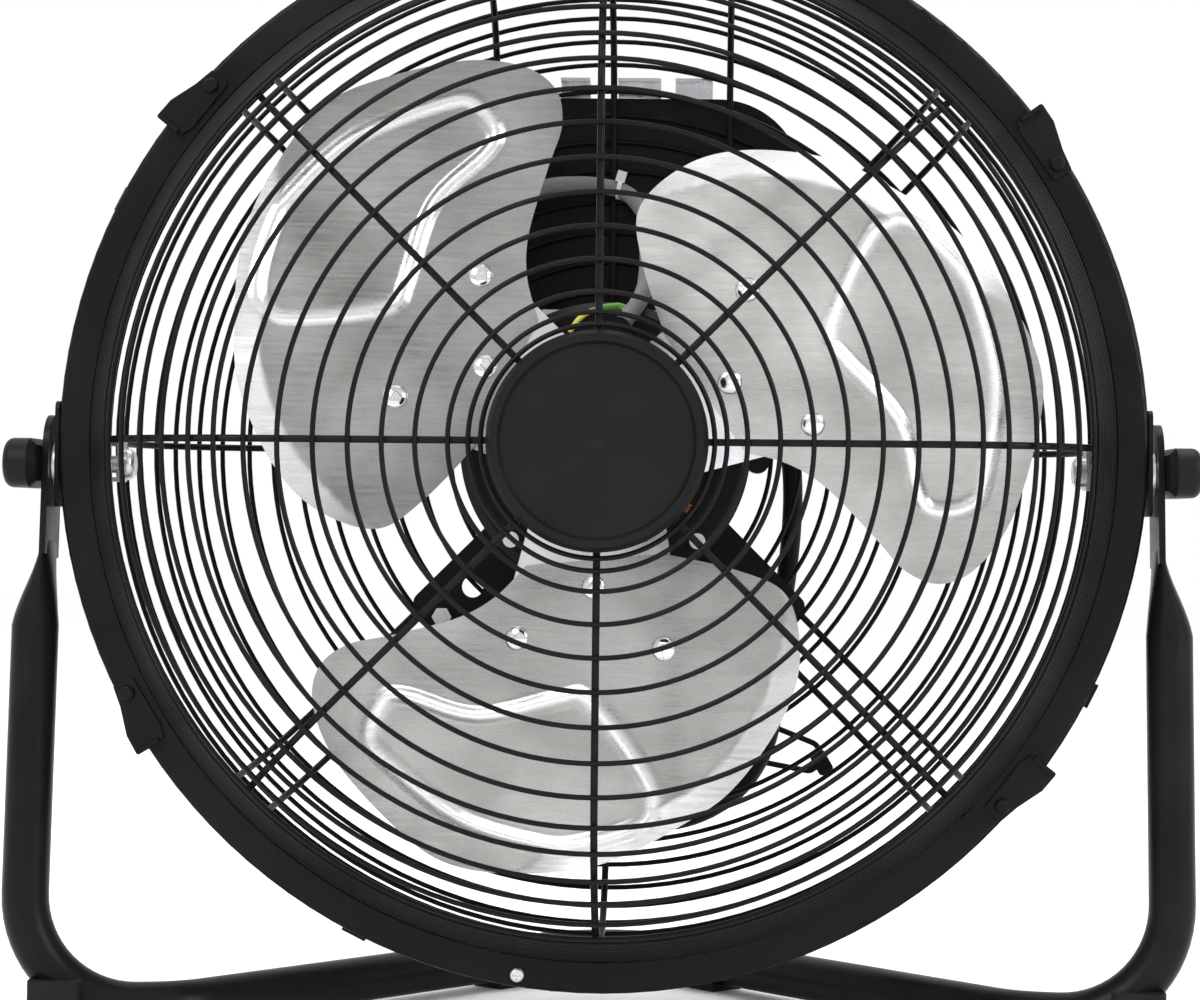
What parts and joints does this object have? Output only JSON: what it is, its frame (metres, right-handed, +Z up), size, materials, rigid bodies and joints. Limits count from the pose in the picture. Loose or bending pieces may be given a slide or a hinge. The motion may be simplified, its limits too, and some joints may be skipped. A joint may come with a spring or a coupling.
{
  "type": "floor fan",
  "caption": "Round high-velocity floor fan: wire cage with riveted metal blades, tilting on side pivots in a bent tube stand, with a rear switch box and stored cord.",
  "frame": {"origin": "on the floor, under the centre of the fan's box without its cord", "axes": "+Z up, +X to the fan's right as seen from the front, +Y to its back; air leaves towards -Y"},
  "size_m": [0.408, 0.2098, 0.428],
  "materials": {
    "black_powder_coat": "satin black powder coat",
    "black_rubber": "matt moulded rubber",
    "cord_jacket": "satin flexible jacket",
    "black_plastic": "fine moulded grain",
    "brushed_aluminium": "rolled and stamped sheet",
    "zinc_plated_steel": "bright zinc plate",
    "laminated_steel": "bare steel",
    "copper_winding": "varnished copper wire",
    "white_tie": "soft plastic-coated tie",
    "ground_insulation": "green and yellow insulation",
    "capacitor_case": "moulded case",
    "brass_pins": "polished brass"
  },
  "bodies": {
    "stand": {"stand_tube": "black_powder_coat", "front_feet": "black_rubber", "rear_feet": "black_rubber"},
    "head": {"front_grille": "black_powder_coat", "rear_grille": "black_powder_coat", "rim_band": "black_powder_coat", "cage_screws": "zinc_plated_steel", "hub_badge": "black_plastic", "badge_backing": "black_powder_coat", "latch_rivets": "zinc_plated_steel", "rear_clips": "black_powder_coat", "pivot_channels": "zinc_plated_steel", "pivot_plates": "black_powder_coat", "pivot_bolts": "zinc_plated_steel", "motor_front_shell": "black_powder_coat", "motor_rear_shell": "black_powder_coat", "stator": "laminated_steel", "stator_windings": "copper_winding", "motor_bearings": "laminated_steel", "motor_screws": "zinc_plated_steel", "motor_spacers": "zinc_plated_steel", "motor_bracket": "black_powder_coat", "clamp_bars": "black_powder_coat", "clamp_screws": "zinc_plated_steel", "switch_box_base": "black_powder_coat", "switch_box_cover": "black_powder_coat", "box_screws": "zinc_plated_steel", "box_hooks": "zinc_plated_steel", "rotary_switch": "black_plastic", "capacitor": "capacitor_case", "motor_lead": "cord_jacket", "lead_tie": "white_tie", "ground_wire": "ground_insulation", "cord_gland": "black_rubber", "power_cord": "cord_jacket", "cord_coil": "cord_jacket", "cord_tail": "cord_jacket", "coil_ties": "white_tie", "plug_body": "cord_jacket", "plug_pins": "brass_pins", "coil_hook": "black_powder_coat", "cord_guide": "black_powder_coat", "carry_handle": "black_powder_coat", "handle_grip": "black_rubber", "handle_brackets": "black_powder_coat"},
    "rotor": {"motor_shaft": "zinc_plated_steel", "rotor_core": "laminated_steel", "blade_spider": "zinc_plated_steel", "blade_1": "brushed_aluminium", "blade_2": "brushed_aluminium", "blade_3": "brushed_aluminium", "blade_rivets": "brushed_aluminium", "hub_nut": "zinc_plated_steel"},
    "speed_dial": {"speed_knob": "black_plastic"},
    "left_knob": {"tilt_knob_left": "black_plastic"},
    "right_knob": {"tilt_knob_right": "black_plastic"},
    "upper_right_latch": {"latch_upper_right": "black_powder_coat"},
    "upper_left_latch": {"latch_upper_left": "black_powder_coat"},
    "lower_left_latch": {"latch_lower_left": "black_powder_coat"},
    "lower_right_latch": {"latch_lower_right": "black_powder_coat"}
  },
  "joints": [
    {"name": "head_tilt", "type": "hinge", "parent": "stand", "child": "head", "pos_m": [0, -0.03987, 0.195], "axis": [1, 0, 0], "range_deg": [-90, 20]},
    {"name": "rotor_spin", "type": "hinge", "parent": "head", "child": "rotor", "pos_m": [0, -0.03987, 0.203], "axis": [0, -1, 0], "continuous": true},
    {"name": "speed_turn", "type": "hinge", "parent": "head", "child": "speed_dial", "pos_m": [0, 0.09013, 0.296], "axis": [0, 1, 0], "range_deg": [0, 150]},
    {"name": "left_knob_turn", "type": "hinge", "parent": "head", "child": "left_knob", "pos_m": [-0.198, -0.03987, 0.195], "axis": [-1, 0, 0], "range_deg": [0, 180]},
    {"name": "right_knob_turn", "type": "hinge", "parent": "head", "child": "right_knob", "pos_m": [0.198, -0.03987, 0.195], "axis": [1, 0, 0], "range_deg": [0, 180]},
    {"name": "upper_right_latch_turn", "type": "hinge", "parent": "head", "child": "upper_right_latch", "pos_m": [0.15578, -0.04817, 0.30148], "axis": [0, 1, 0], "range_deg": [0, 70]},
    {"name": "upper_left_latch_turn", "type": "hinge", "parent": "head", "child": "upper_left_latch", "pos_m": [-0.13696, -0.04817, 0.32632], "axis": [0, 1, 0], "range_deg": [0, 70]},
    {"name": "lower_left_latch_turn", "type": "hinge", "parent": "head", "child": "lower_left_latch", "pos_m": [-0.16258, -0.04817, 0.11619], "axis": [0, 1, 0], "range_deg": [0, 70]},
    {"name": "lower_right_latch_turn", "type": "hinge", "parent": "head", "child": "lower_right_latch", "pos_m": [0.13803, -0.04817, 0.08088], "axis": [0, 1, 0], "range_deg": [0, 70]}
  ]
}
